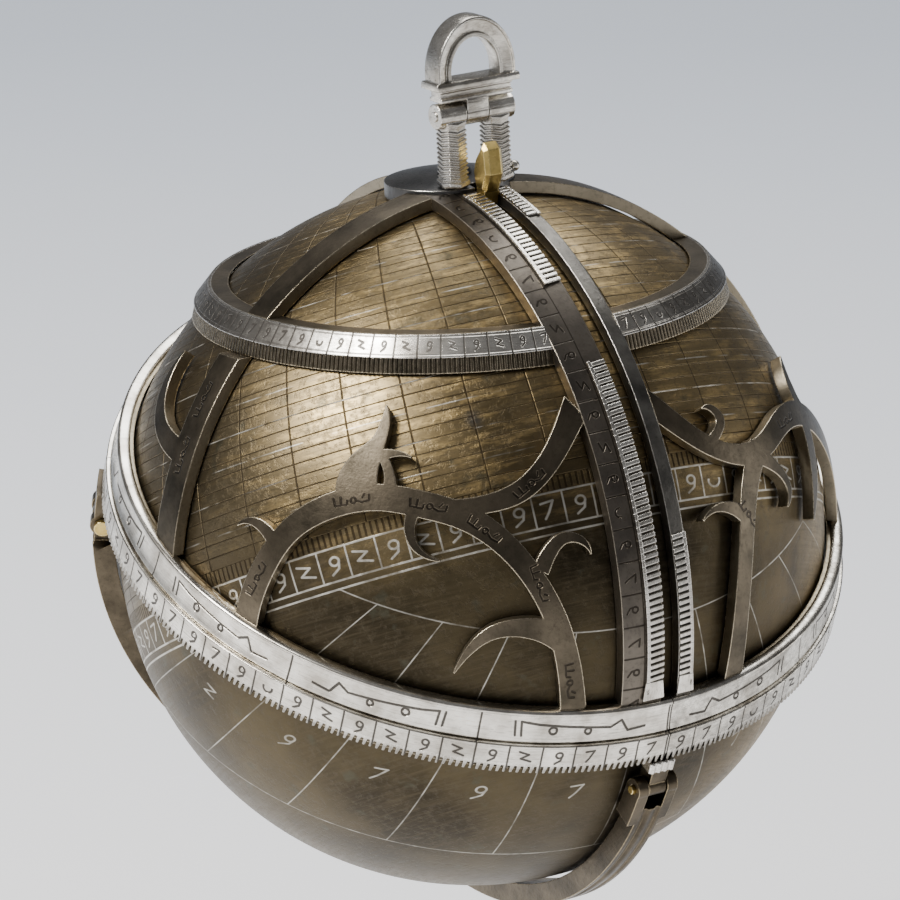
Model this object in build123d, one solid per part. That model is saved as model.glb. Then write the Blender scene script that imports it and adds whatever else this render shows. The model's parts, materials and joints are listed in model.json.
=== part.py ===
from build123d import *
import math
import os

# Spherical astrolabe: a hollow brass globe that turns under a cap-like pierced rete, hung from a
# hinged silver shackle. Every piece is modelled in the polar frame: globe centre at the origin,
# polar axis along +Z, the slotted colure towards -Y. It is then tilted to the way the instrument
# hangs and moved so that the origin is the bearing point of the shackle. Millimetres throughout.

# ---- globe ----
globe_r = 41.5              # outside radius of the engraved globe
globe_wall = 1.6            # thickness of the two raised hemispheres
zenith_tilt = 25.9          # angle from the globe's pole to its engraved zenith
sleeve_height = 6.0         # joining band inside the horizon seam
sleeve_thickness = 1.2
bush_r = 4.0                # brass bush behind the pole hole
bush_depth = 2.2

# ---- rete ----
rete_in = 41.75             # inside radius, running clear of the globe
rete_out = 43.1             # top face of ribs and tracery
obliquity = 23.5            # tilt of the ecliptic ring
ecliptic_top = 8.0          # heights measured along the ecliptic axis from the great circle
ecliptic_step = 3.8
ecliptic_low = 0.35         # lower edge of the number band, above the toothed edge
core_out = 43.1
name_band_out = 43.55
number_band_out = 43.95
rim_wire_r = 0.45
ring_low = 28.0             # declination ring, heights along the polar axis
ring_mid = 29.8
ring_top = 32.0
ring_foot_r = 31.15         # radius of its core at the lower edge, where teeth and scale meet, on top
ring_waist_r = 30.65
ring_head_r = 28.85
ring_scale_depth = 0.35     # the silver leans inwards over teeth that stand nearly upright
ring_tooth_depth = 0.12
slot_half = 1.05            # half the width of the slot between the colure rails
number_rail_edge = 6.1      # outer edge of the left rail, from the colure plane
tick_edge = 3.3             # where the number strip meets the silver scale
plain_rail_edge = 2.85
scale_out = 43.4            # top of the silver scales on the rails
rail_end_lat = 86.0         # the rails run on to the polar plate, their scales only to the bracket
scale_end_lat = 81.3
rib_front = 5.0             # equinoctial rib, its two faces ahead of the pole on the slot side
rib_back = 1.2
back_rib_half = 1.9
shell_low = 0.82            # tracery blanks, their inner and outer faces as shares of its radius
shell_high = 1.12
plate_r = 7.6
plate_back = 1.2            # the plate's middle lies a little behind the pole
plate_out = 43.5

# ---- suspension ----
bracket_y = -4.7            # the bracket straddles the top of the slot, ahead of the pole
leg_gap = 3.0
leg_width = 2.8
leg_depth = 3.1
foot_z = 42.9
foot_height = 1.5
foot_flange = 0.25
hinge_z = 51.7
knuckle_r = 1.5
rivet_r = 0.65
hinge_pin_r = 0.6
running_gap = 0.05          # radial clearance of each turning pin
side_gap = 0.1
barrel_half = 5.0
neck_half = 4.75
neck_low = 53.35
neck_top = 54.8
neck_depth = 2.8
loop_half = 5.2
loop_top = 63.0
loop_bar = 1.0
loop_in_half = 2.9
loop_depth = 3.2
loop_in_top = 60.5
loop_bevel = 0.7
rim_proud = 0.35

# ---- pole pin and slot cursor ----
pole_pin_r = 1.2
pin_head_r = 2.0
pin_head_height = 0.7
cursor_lat = 80.2           # where the cursor rests in the slot
cursor_half = 0.95
cursor_length = 1.8
key_half = 1.2
key_low = 43.6

# ---- retaining cage ----
cage_in = 42.0
cage_out = 44.6
arm_half = 1.7
cage_pin_h = -4.2           # hinge pin height below the ecliptic plane
cage_pin_r = 0.5
cage_pin_radius = 43.3      # distance of the hinge pin from the globe centre
block_half = 1.7            # ribbed block over the front hinge
block_out = 44.3
tongue_half = 1.1
tongue_out = 44.0
tongue_eye_r = 1.15
ear_in = 1.25
ear_out = 2.6
ear_eye_r = 1.3
fork_depth = 3.6            # angle below the pin at which the fork closes
fork_solid = 3.0
lug_in = 1.3
lug_out = 2.7
lug_top = 44.4
lug_eye_r = 1.5
hook_eye_r = 1.35
hook_gap = 0.2
hook_blade = 4.5            # angle below the pin down to the full width of the arm
boss_r = 5.5
boss_button_r = 3.0
boss_button = 0.6
latch_azimuth = 120.0
latch_pin_r = 0.6
latch_pin_half = 3.0
latch_head_r = 1.0

hang_tilt = math.degrees(math.atan2(-bracket_y, hinge_z))
bearing = Rot(X=-hang_tilt) * Pos(0, bracket_y, loop_in_top)
hang = Pos(*[-c for c in bearing.position]) * Rot(X=-hang_tilt)
ecliptic = Rot(X=obliquity)
zenith = Rot(X=-zenith_tilt)


def unit(lon, lat):
    """Direction at a longitude from the slot, to the right, and a latitude from the equator."""
    a = math.radians(lon)
    b = math.radians(lat)
    return Vector(math.cos(b) * math.sin(a), -math.cos(b) * math.cos(a), math.sin(b))


def zone(r_in, r_out, low, high):
    """Ring cut from a spherical shell between two heights on the Z axis."""
    mid = (low + high) / 2

    def at(r, h):
        return (math.sqrt(r * r - h * h), h)

    with BuildSketch(Plane.XZ) as profile:
        with BuildLine():
            ThreePointArc(at(r_out, low), at(r_out, mid), at(r_out, high))
            Line(at(r_out, high), at(r_in, high))
            ThreePointArc(at(r_in, high), at(r_in, mid), at(r_in, low))
            Line(at(r_in, low), at(r_out, low))
        make_face()
    return revolve(profile.sketch, Axis.Z).solid()


def meridian_strip(r_in, r_out, x_low, x_high, lat_low, lat_high):
    """Strip of spherical shell between two planes of constant X on the slot side."""
    ring = Rot(Y=90) * zone(r_in, r_out, x_low, x_high)
    low = wedge_plane(lat_low)
    high = wedge_plane(lat_high)
    part = split(ring, bisect_by=low, keep=Keep.TOP)
    return split(part, bisect_by=high, keep=Keep.BOTTOM).solid()


def wedge_plane(lat):
    """Plane through the X axis at a latitude on the slot side, its normal towards the pole."""
    a = math.radians(lat)
    return Plane(origin=(0, 0, 0), x_dir=(1, 0, 0), z_dir=(0, math.sin(a), math.cos(a)))


def shell(r_in, r_out):
    """Hollow ball."""
    return Sphere(r_out) - Sphere(r_in)


def stroke(points, centre):
    """Tapered stroke over the globe: (lon, lat, width) points seen from the globe's centre."""
    normal = unit(*centre)
    east = Vector(math.cos(math.radians(centre[0])), math.sin(math.radians(centre[0])), 0)
    north = normal.cross(east)
    flat = []
    for lon, lat, width in points:
        ray = unit(lon, lat)
        depth = ray.dot(normal)
        flat.append((ray.dot(east) / depth * rete_out, ray.dot(north) / depth * rete_out, width / depth))
    left = []
    right = []
    for i, (x, y, width) in enumerate(flat):
        before = flat[max(i - 1, 0)]
        after = flat[min(i + 1, len(flat) - 1)]
        run = Vector(after[0] - before[0], after[1] - before[1]).normalized()
        side = Vector(-run.Y, run.X) * (width / 2)
        left.append((x + side.X, y + side.Y))
        right.append((x - side.X, y - side.Y))
    faces = []
    for scale in (shell_low, shell_high):
        plane = Plane(origin=normal * (rete_out * scale), x_dir=east, z_dir=normal)
        with BuildSketch(plane) as outline:
            with BuildLine():
                Spline([(u * scale, v * scale) for u, v in left])
                Line([(u * scale, v * scale) for u, v in (left[-1], right[-1])])
                Spline([(u * scale, v * scale) for u, v in reversed(right)])
                Line([(u * scale, v * scale) for u, v in (right[0], left[0])])
            make_face()
        faces.append(outline.sketch.face())
    return loft(faces, ruled=True).solid()


def tracery(strokes, centre, keep_out):
    """Strokes joined, cut to the rete's thickness and trimmed to the rings and rails."""
    body = stroke(strokes[0], centre)
    for points in strokes[1:]:
        body = body + stroke(points, centre)
    body = body & shell(rete_in, rete_out)
    for tool in keep_out:
        body = body - tool
    return body


nodes = {}

# ---- globe: two raised hemispheres meeting on the engraved horizon, with a joining sleeve ----
ball = shell(globe_r - globe_wall, globe_r)
pole_hole = Pos(0, 0, globe_r) * Cylinder(pole_pin_r + running_gap, 4 * (globe_wall + bush_depth))
horizon = zenith * Plane.XY
upper = split(ball, bisect_by=horizon, keep=Keep.TOP)
nodes["globe_upper_half"] = upper - pole_hole
nodes["globe_lower_half"] = split(ball, bisect_by=horizon, keep=Keep.BOTTOM)
sleeve_out = globe_r - globe_wall
nodes["globe_joining_sleeve"] = zenith * zone(
    sleeve_out - sleeve_thickness, sleeve_out, -sleeve_height / 2, sleeve_height / 2)
bush_top = globe_r - globe_wall
bush = Pos(0, 0, bush_top - bush_depth / 2) * Cylinder(bush_r, bush_depth + 1) & Sphere(bush_top)
nodes["globe_pole_bush"] = bush - pole_hole

# ---- ecliptic ring: brass core with two silver bands and a rim wire ----
nodes["ecliptic_ring"] = ecliptic * zone(rete_in, core_out, 0, ecliptic_top - rim_wire_r)
nodes["ecliptic_name_band"] = ecliptic * zone(
    core_out, name_band_out, ecliptic_step, ecliptic_top - rim_wire_r)
nodes["ecliptic_number_band"] = ecliptic * zone(
    core_out, number_band_out, ecliptic_low, ecliptic_step)
nodes["ecliptic_rim"] = ecliptic * zone(
    core_out - 0.9, name_band_out + 0.15, ecliptic_top - rim_wire_r, ecliptic_top)
ecliptic_keep_out = ecliptic * zone(rete_in - 1, number_band_out + 1, -1, ecliptic_top)

# ---- colure rails and their silver scales, from the bracket to the ecliptic rim ----
rim_lat = math.degrees(math.asin(ecliptic_top / rete_out)) - obliquity
nodes["number_rail"] = meridian_strip(
    rete_in, rete_out, -number_rail_edge, -slot_half, rim_lat - 3, rail_end_lat) - ecliptic_keep_out
nodes["plain_rail"] = meridian_strip(
    rete_in, rete_out, slot_half, plain_rail_edge, rim_lat - 3, rail_end_lat) - ecliptic_keep_out
scale_runs = {
    "number_rail_upper_scale": (-tick_edge, -slot_half, 55.4, scale_end_lat),
    "number_rail_lower_scale": (-tick_edge, -slot_half, rim_lat + 0.6, 41.2),
    "plain_rail_upper_scale": (slot_half, plain_rail_edge, 70.8, scale_end_lat),
    "plain_rail_lower_scale": (slot_half, plain_rail_edge, rim_lat + 0.6, 13.2),
}
for name, (x_low, x_high, lat_low, lat_high) in scale_runs.items():
    nodes[name] = meridian_strip(rete_out, scale_out, x_low, x_high, lat_low, lat_high)

# ---- declination ring: closed round the back, butted to the rails at the front ----
rail_gate = Pos((plain_rail_edge - number_rail_edge) / 2, -30, 30) * Box(
    plain_rail_edge + number_rail_edge, 30, 40)


def turned(*corners):
    """Ring turned on the Z axis from the (radius, height) corners of its section."""
    with BuildSketch(Plane.XZ) as section:
        with BuildLine():
            Polyline(*corners, close=True)
        make_face()
    return revolve(section.sketch, Axis.Z).solid()


core_blank = turned((rete_in / 2, ring_low), (ring_foot_r, ring_low), (ring_waist_r, ring_mid),
                    (ring_head_r, ring_top), (rete_in / 2, ring_top))
nodes["declination_ring"] = core_blank - Sphere(rete_in) - rail_gate
nodes["declination_scale"] = turned(
    (ring_waist_r, ring_mid), (ring_waist_r + ring_scale_depth, ring_mid),
    (ring_head_r + ring_scale_depth, ring_top), (ring_head_r, ring_top)) - rail_gate
nodes["declination_tooth_band"] = turned(
    (ring_foot_r, ring_low), (ring_foot_r + ring_tooth_depth, ring_low),
    (ring_waist_r + ring_tooth_depth, ring_mid), (ring_waist_r, ring_mid)) - rail_gate

# ---- polar plate: caps the meeting of rails and ribs, cut away over the slot ----
plate_cap = Pos(0, plate_back, plate_out) * Cylinder(plate_r, 20)
slot_cut = Pos(0, bracket_y - 20, plate_out) * Box(2 * slot_half, 40, 20)
polar_blank = (shell(rete_in, plate_out) & plate_cap) - slot_cut
polar_hole = Pos(0, 0, plate_out) * Cylinder(pole_pin_r, 10)
nodes["polar_plate"] = polar_blank - polar_hole
for name in ("number_rail", "plain_rail", "number_rail_upper_scale", "plain_rail_upper_scale"):
    nodes[name] = nodes[name] - plate_cap

# ---- pivot pin at the pole: headed over the plate, turning in the globe's bush ----
pin_low = globe_r - globe_wall - bush_depth
pole_pin = Pos(0, 0, (pin_low + plate_out) / 2) * Cylinder(pole_pin_r, plate_out - pin_low)
pin_head = Pos(0, 0, plate_out + pin_head_height / 2) * Cylinder(pin_head_r, pin_head_height)
nodes["pole_pivot_pin"] = pole_pin + fillet(pin_head.edges().group_by(Axis.Z)[-1], 0.4)

# ---- equinoctial ribs, one each side of the plate, and their flame pointers ----
rib_ring = Rot(X=90) * zone(rete_in, rete_out, rib_back, rib_front)
ring_gate = zone(rete_in - 1, rete_out + 1, ring_low, ring_top)
rail_keep_out = Pos((plain_rail_edge - number_rail_edge) / 2, -30, 20) * Box(
    plain_rail_edge + number_rail_edge, 60, 100)
rib_arch = rib_ring - ecliptic_keep_out - plate_cap - ring_gate - rail_keep_out
below_ecliptic = ecliptic * Pos(0, 0, -60) * Box(200, 200, 120)
rib_arch = rib_arch - below_ecliptic
left_pointer = [(-86.5, 24.2, 2.6), (-91, 25.2, 2.6), (-95.5, 26.8, 2.3), (-99.5, 30, 2.0),
                (-101.5, 34, 1.4), (-101, 38.5, 0.2)]
rib_sides = {"left": -1, "right": 1}
for side, sign in rib_sides.items():
    half = rib_arch & Pos(sign * 50, 0, 0) * Box(100, 200, 200)
    upper_piece = half & Pos(0, 0, 50 + ring_mid) * Box(200, 200, 100)
    lower_piece = half - Pos(0, 0, 50 + ring_mid) * Box(200, 200, 100)
    nodes[f"{side}_upper_rib"] = upper_piece
    pointer = [(lon * -sign, lat, width) for lon, lat, width in left_pointer]
    horn = stroke(pointer, (sign * 94, 30)) & shell(rete_in, rete_out)
    nodes[f"{side}_lower_rib"] = lower_piece + horn - ring_gate

# ---- solstitial rib behind the pole: plate to declination ring, then down to the ecliptic ring ----
back_strip = Rot(Z=180) * meridian_strip(
    rete_in, rete_out, -back_rib_half, back_rib_half, 25, 85) - plate_cap - ring_gate
back_strip = back_strip - ecliptic_keep_out - below_ecliptic
nodes["back_upper_rib"] = back_strip & Pos(0, 0, 50 + ring_mid) * Box(200, 200, 100)
nodes["back_lower_rib"] = back_strip - Pos(0, 0, 50 + ring_mid) * Box(200, 200, 100)

# ---- star tracery on each side of the rails: an arch, a branch to the rail and pointers ----
left_strokes = [
    # arch from its foot on the ecliptic rim, over the top and down beside the rail
    [(-67.3, 1.0, 3.4), (-66.0, 5.8, 3.3), (-63.6, 11, 3.1), (-59.5, 16.6, 2.9), (-53, 20.6, 3.0),
     (-45, 22.2, 3.1), (-38, 21.2, 3.1), (-31.5, 19.2, 3.0), (-26, 15.4, 2.8), (-21.7, 10, 2.6),
     (-18.8, 4, 2.7), (-17, -3, 2.9), (-16, -14, 3.3)],
    # branch sweeping up to the number rail
    [(-34, 20.6, 1.9), (-28, 20.9, 2.1), (-23, 22.1, 2.4), (-18, 25.4, 2.5), (-13.5, 30.3, 2.8),
     (-10, 34.5, 3.3), (-6.5, 38, 3.6)],
    # hook beside the rail
    [(-20.2, 10.4, 2.0), (-18.3, 13.4, 1.7), (-16, 14.9, 1.35), (-13.6, 14.3, 0.95), (-12.2, 12, 0.2)],
    # long thorn
    [(-17.2, -0.8, 3.2), (-20.5, 1.4, 2.7), (-24.5, 2.2, 2.1), (-28.5, 1.5, 1.6), (-31.5, -0.8, 1.0),
     (-34, -4.3, 0.2)],
    # bird-shaped star pointer: body and crest, then the beak
    [(-48.5, 22, 5.2), (-48.8, 25.2, 4.6), (-47.4, 28.2, 3.2), (-45.8, 30.6, 1.8), (-45, 33, 1.2),
     (-45, 36.2, 0.2)],
    [(-49, 27.6, 2.4), (-45.5, 28.4, 1.6), (-42.6, 28.8, 0.8), (-39.9, 28.2, 0.2)],
    [(-43.6, 22, 2.2), (-43.4, 25, 1.3), (-44.6, 28, 1.1)],
    # claw under the arch and small hook at the foot
    [(-38.8, 20.8, 1.8), (-40, 17.6, 1.2), (-39.2, 15, 0.9), (-37.4, 13.5, 0.55), (-35.4, 12.8, 0.2)],
    [(-61.8, 13.6, 1.9), (-64.6, 16.3, 1.4), (-67.2, 17, 0.9), (-69.6, 16, 0.2)],
]
right_strokes = [
    # branch from the plain rail, arch over to its foot on the ecliptic rim
    [(1.5, 34.6, 3.0), (7.5, 28.9, 2.7), (11.5, 25.2, 2.4), (17, 21.9, 2.4), (22.5, 20.6, 2.7),
     (28, 21.2, 2.9), (33, 22.4, 3.0), (39, 22.6, 3.1), (45, 20.8, 3.2), (51, 16.6, 3.2),
     (56, 11, 3.2), (59.5, 5, 3.3), (61.5, -2, 3.4)],
    # trunk down to the ecliptic rim
    [(25, 21.2, 3.2), (19.2, 15.5, 2.8), (16.4, 9, 2.5), (14.6, 2, 2.5), (13.5, -5, 2.6),
     (12.9, -14, 3.2)],
    # thorn towards the rail
    [(17.4, 11.6, 2.2), (14.4, 13.9, 1.5), (11.5, 14.6, 0.9), (8, 13.4, 0.2)],
    # claw and long pointer under the arch
    [(25, 19.4, 2.4), (28.2, 16.4, 1.4), (29.8, 13.4, 1.1), (28.2, 10.6, 0.2)],
    [(44, 21, 2.8), (42.4, 16, 2.4), (39.6, 11, 1.7), (36.3, 6.2, 0.3)],
    # crescent and crest above it
    [(12.8, 24.2, 1.4), (16, 25.4, 1.3), (17.9, 27.3, 1.4), (16.8, 29.2, 0.9), (14.8, 29.6, 0.2)],
    [(45.5, 21, 2.4), (44.6, 25, 1.8), (46.2, 28, 1.2), (49, 30, 0.2)],
]
keep_out = [ecliptic_keep_out, rail_keep_out]
nodes["left_star_tracery"] = tracery(left_strokes, (-40, 12), keep_out)
nodes["right_star_tracery"] = tracery(right_strokes, (33, 12), keep_out)

# ---- bracket: two legs with outer knuckles, straddling the slot ----
knuckle_mid = leg_gap / 2
leg_x = leg_gap / 2 + leg_width / 2
for side, sign in rib_sides.items():
    leg = Pos(sign * leg_x, bracket_y, (foot_z + hinge_z) / 2) * Box(
        leg_width, leg_depth, hinge_z - foot_z)
    foot = Pos(sign * leg_x, bracket_y, foot_z + foot_height / 2) * Box(
        leg_width + 2 * foot_flange, leg_depth + 2 * foot_flange, foot_height)
    outer = Pos(sign * (knuckle_mid + barrel_half) / 2, bracket_y, hinge_z) * Rot(Y=90) * Cylinder(
        knuckle_r, barrel_half - knuckle_mid)
    bore = Pos(0, bracket_y, hinge_z) * Rot(Y=90) * Cylinder(hinge_pin_r, 20)
    nodes[f"bracket_{side}_leg"] = (leg + foot + outer) - bore - Sphere(plate_out)
nodes["shackle_hinge_pin"] = Pos(0, bracket_y, hinge_z) * Rot(Y=90) * Cylinder(
    hinge_pin_r, 2 * barrel_half + 0.3)
rivet_place = Pos(leg_x + leg_width / 2 + 0.45, bracket_y - 0.9, foot_z + foot_height + 0.2)
nodes["bracket_ball_rivet"] = rivet_place * Sphere(rivet_r) - nodes["bracket_right_leg"]

# ---- shackle: middle knuckle and moulded neck, with the D-shaped loop soldered on ----
middle = Pos(0, bracket_y, hinge_z) * Rot(Y=90) * Cylinder(knuckle_r, leg_gap - 2 * side_gap)
web = Pos(0, bracket_y, (hinge_z + neck_low) / 2) * Box(
    leg_gap - 2 * side_gap, 2 * knuckle_r, neck_low - hinge_z)
neck = Pos(0, bracket_y, (neck_low + neck_top) / 2) * Box(
    2 * neck_half, neck_depth, neck_top - neck_low)
pin_bore = Pos(0, bracket_y, hinge_z) * Rot(Y=90) * Cylinder(hinge_pin_r + running_gap, 20)
nodes["shackle_neck"] = fillet(neck.edges().filter_by(Axis.X), 0.35) + web + middle - pin_bore


def arch_face(half, low, top):
    """Upright face with straight sides and a round top, in the plane of the loop."""
    with BuildSketch(Plane.XZ) as outline:
        with BuildLine():
            Line((-half, low), (half, low))
            Line((half, low), (half, top - half))
            ThreePointArc((half, top - half), (0, top), (-half, top - half))
            Line((-half, top - half), (-half, low))
        make_face()
    return outline.sketch.face()


bow = extrude(arch_face(loop_half, neck_top + loop_bar, loop_top), loop_depth / 2, both=True)
bow = chamfer(bow.edges().filter_by(GeomType.CIRCLE), loop_bevel)
opening = extrude(
    arch_face(loop_in_half, neck_top + loop_bar, loop_in_top), loop_depth, both=True)
rim = Pos(0, 0, neck_top + loop_bar / 2) * Box(
    2 * (loop_half + rim_proud), loop_depth + 2 * rim_proud, loop_bar)
rim = fillet(rim.edges().filter_by(Axis.X), 0.4)
nodes["shackle_loop"] = Pos(0, bracket_y, 0) * (bow - opening + rim)

# ---- slot cursor: a faceted brass key whose shank slides in the slot ----
cursor_low = rete_in + 0.2
key_side = [(-1.0, 0), (1.0, 0), (1.7, 1.8), (1.4, 3.6), (0.1, 5.8), (-0.9, 5.2), (-1.7, 2.4)]
with BuildSketch(Plane.YZ.offset(-key_half)) as cursor_side:
    with BuildLine():
        Polyline([(y, key_low + z) for y, z in key_side], close=True)
    make_face()
head = extrude(cursor_side.sketch, 2 * key_half)
head = chamfer(head.edges().group_by(Axis.X)[-1] + head.edges().group_by(Axis.X)[0], 0.45)
shank_top = key_low + 0.2
shank = Pos(0, 0, (cursor_low + shank_top) / 2) * Box(
    2 * cursor_half, cursor_length, shank_top - cursor_low)
nodes["slot_cursor"] = Rot(X=90 - cursor_lat) * (head + shank)

# ---- front hinge of the cage: ribbed block and tongue on the ring, pin, forked front arm ----


def arm_zone(half, r_in, r_out, below_low, below_high):
    """Arc of a cage arm in the slot-side meridian of the ecliptic frame, by angles below it."""
    ring = Rot(Y=90) * zone(r_in, r_out, -half, half)
    low = wedge_plane(-below_high)
    high = wedge_plane(-below_low)
    part = split(ring, bisect_by=low, keep=Keep.TOP)
    return split(part, bisect_by=high, keep=Keep.BOTTOM).solid()


def degrees_below(height):
    """Angle below the ecliptic plane of a point on the hinge pin's circle."""
    return math.degrees(math.asin(height / cage_pin_radius))


pin_drop = degrees_below(-cage_pin_h)
pin_centre = Pos(0, -cage_pin_radius * math.cos(math.radians(pin_drop)), cage_pin_h)
block_below = degrees_below(1.5)
pin_bore_press = pin_centre * Rot(Y=90) * Cylinder(cage_pin_r, 12)
pin_bore_run = pin_centre * Rot(Y=90) * Cylinder(cage_pin_r + running_gap, 12)
nodes["front_hinge_block"] = ecliptic * arm_zone(block_half, rete_in, block_out, 0, block_below)
tongue = arm_zone(tongue_half, rete_in + 0.1, tongue_out, block_below, pin_drop)
tongue_eye = (pin_centre * Rot(Y=90) * Cylinder(tongue_eye_r, 2 * tongue_half)) - Sphere(rete_in)
nodes["front_hinge_tongue"] = ecliptic * (tongue + tongue_eye - pin_bore_press)
nodes["cage_hinge_pin"] = ecliptic * pin_centre * Rot(Y=90) * Cylinder(cage_pin_r, 2 * ear_out + 0.8)

boss_cap = Pos(0, 0, -43) * Cylinder(boss_r, 12)
fork_start = pin_drop + fork_depth
ear_eye = pin_centre * Rot(Y=90) * Cylinder(ear_eye_r, 2 * ear_out) - Sphere(cage_in - 0.1)
fork = arm_zone(ear_out, cage_in, cage_out, pin_drop, fork_start + fork_solid) + ear_eye
fork = fork - arm_zone(ear_in, cage_in - 2, cage_out + 2, 0, fork_start)
fork = fork - Pos(0, -cage_pin_radius, -1.4) * Box(20, 10, 1.6)
arm_end = arm_zone(arm_half, cage_in, cage_out, fork_start + fork_solid, 90)
nodes["cage_front_arm"] = ecliptic * (fork + arm_end - boss_cap - pin_bore_run)

# ---- side arms: each ends in an open eye that hooks over a latch pin in the ring's lug ----
notch_half = latch_pin_r + 0.12
for side, sign in rib_sides.items():
    turn = ecliptic * Rot(Z=sign * latch_azimuth)
    lug = arm_zone(lug_out, rete_in + 0.1, lug_top, 0, pin_drop) + (
        pin_centre * Rot(Y=90) * Cylinder(lug_eye_r, 2 * lug_out) - Sphere(rete_in + 0.1))
    lug_slot = arm_zone(lug_in, rete_in - 1, lug_top + 3, block_below, 20)
    latch_bore = pin_centre * Rot(Y=90) * Cylinder(latch_pin_r + running_gap, 12)
    nodes[f"{side}_latch_lug"] = turn * (lug - lug_slot - latch_bore)
    hook_half = lug_in - hook_gap
    eye = pin_centre * Rot(Y=90) * Cylinder(hook_eye_r, 2 * hook_half) - Sphere(cage_in)
    blade = arm_zone(hook_half, cage_in, cage_out - hook_gap, pin_drop, pin_drop + hook_blade)
    main = arm_zone(arm_half, cage_in, cage_out, pin_drop + hook_blade - 0.1, 90)
    notch = pin_centre * Pos(0, 0, 1.5) * Box(12, 2 * notch_half, 3)
    notch_round = pin_centre * Rot(Y=90) * Cylinder(notch_half, 12)
    nodes[f"cage_{side}_arm"] = turn * (eye + blade + main - notch - notch_round - boss_cap)
    pin = pin_centre * Rot(Y=90) * Cylinder(latch_pin_r, 2 * latch_pin_half)
    head = pin_centre * Pos(-sign * (latch_pin_half + 0.1), 0, 0) * Rot(Y=90) * Cylinder(latch_head_r, 0.6)
    nodes[f"{side}_latch_pin"] = turn * (pin + head)

# ---- boss: a domed disc where the three arms meet under the globe ----
boss = shell(cage_in, cage_out) & boss_cap
button = shell(cage_out, cage_out + boss_button) & Pos(0, 0, -cage_out) * Cylinder(boss_button_r, 6)
nodes["cage_boss"] = ecliptic * (boss + button)

os.makedirs("parts", exist_ok=True)
for name, solid in nodes.items():
    export_step(hang * solid, f"parts/{name}.step")
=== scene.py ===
import json
import math

import bpy
from mathutils import Matrix, Vector


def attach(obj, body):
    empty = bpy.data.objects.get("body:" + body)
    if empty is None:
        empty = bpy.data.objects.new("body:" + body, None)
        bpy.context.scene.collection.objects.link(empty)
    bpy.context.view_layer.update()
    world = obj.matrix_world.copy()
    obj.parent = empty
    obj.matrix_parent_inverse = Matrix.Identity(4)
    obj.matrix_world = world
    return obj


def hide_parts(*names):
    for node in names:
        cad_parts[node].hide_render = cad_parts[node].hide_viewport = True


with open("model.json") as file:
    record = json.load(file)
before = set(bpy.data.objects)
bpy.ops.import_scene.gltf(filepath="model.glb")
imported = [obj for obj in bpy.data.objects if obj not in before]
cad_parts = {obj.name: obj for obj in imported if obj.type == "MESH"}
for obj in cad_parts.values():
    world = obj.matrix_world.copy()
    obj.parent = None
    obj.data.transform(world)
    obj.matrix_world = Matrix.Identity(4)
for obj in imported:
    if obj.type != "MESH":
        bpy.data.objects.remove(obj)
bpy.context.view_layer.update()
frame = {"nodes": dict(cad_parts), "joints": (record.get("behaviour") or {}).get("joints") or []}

# ---- camera: a long lens from the front left of the slot, looking a little down ----
# The instrument hangs upright from its shackle. Its globe's centre and pole come from the joint
# on which the globe turns; every other place below is measured from them.
globe_turn = next(joint for joint in frame["joints"] if joint["name"] == "globe_turn")
globe_centre = Vector(globe_turn["pos_m"])
pole = Vector(globe_turn["axis"])
hang_tilt = math.degrees(math.atan2(pole.y, pole.z))
azimuth = math.radians(-31.1)
elevation = math.radians(20.6)
right = Vector((math.cos(azimuth), math.sin(azimuth), 0))
back = Vector((math.cos(elevation) * math.sin(azimuth), -math.cos(elevation) * math.cos(azimuth),
               math.sin(elevation)))
up = back.cross(right)
lens = bpy.data.cameras.new("camera")
lens.lens = 240
lens.sensor_width = 36
camera = bpy.data.objects.new("camera", lens)
camera.matrix_world = Matrix((right, up, back)).transposed().to_4x4()
camera_distance = 0.70645
camera.location = globe_centre + back * camera_distance - right * 0.00253 + up * 0.00965
bpy.context.scene.collection.objects.link(camera)
bpy.context.scene.camera = camera

# ---- finishes: what every metal below is mixed with ----
# A finish is one node material. Positions on a piece are read in millimetres about the globe's
# centre, turned to the axis that the piece was laid out on.


class Tone:
    """A number that varies over a surface; plain arithmetic on it adds nodes to its finish."""

    def __init__(self, finish, socket):
        self.finish = finish
        self.socket = socket

    def math(self, operation, *others):
        return self.finish.math(operation, self, *others)

    def __add__(self, other):
        return self.math("ADD", other)

    def __sub__(self, other):
        return self.math("SUBTRACT", other)

    def __mul__(self, other):
        return self.math("MULTIPLY", other)

    def __truediv__(self, other):
        return self.math("DIVIDE", other)

    def __rsub__(self, other):
        return self.finish.math("SUBTRACT", other, self)

    def __gt__(self, other):
        return self.math("GREATER_THAN", other)

    def __lt__(self, other):
        return self.math("LESS_THAN", other)

    def __abs__(self):
        return self.math("ABSOLUTE")

    __radd__ = __add__
    __rmul__ = __mul__

    def least(self, other):
        return self.math("MINIMUM", other)

    def most(self, other):
        return self.math("MAXIMUM", other)

    def ramp(self, low, high, start=0.0, end=1.0):
        """start below low, end above high, and a straight run between them."""
        values = {0: self, 1: low, 2: high, 3: start, 4: end}
        return self.finish.node("ShaderNodeMapRange", {}, values)

    def line(self, half_width, soft):
        """One within half_width of nought, fading out over soft."""
        return self.ramp(half_width, half_width + soft, 1.0, 0.0)

    def off(self, pitch):
        """Distance from the nearest multiple of a pitch."""
        return self.math("PINGPONG", pitch / 2)


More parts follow.
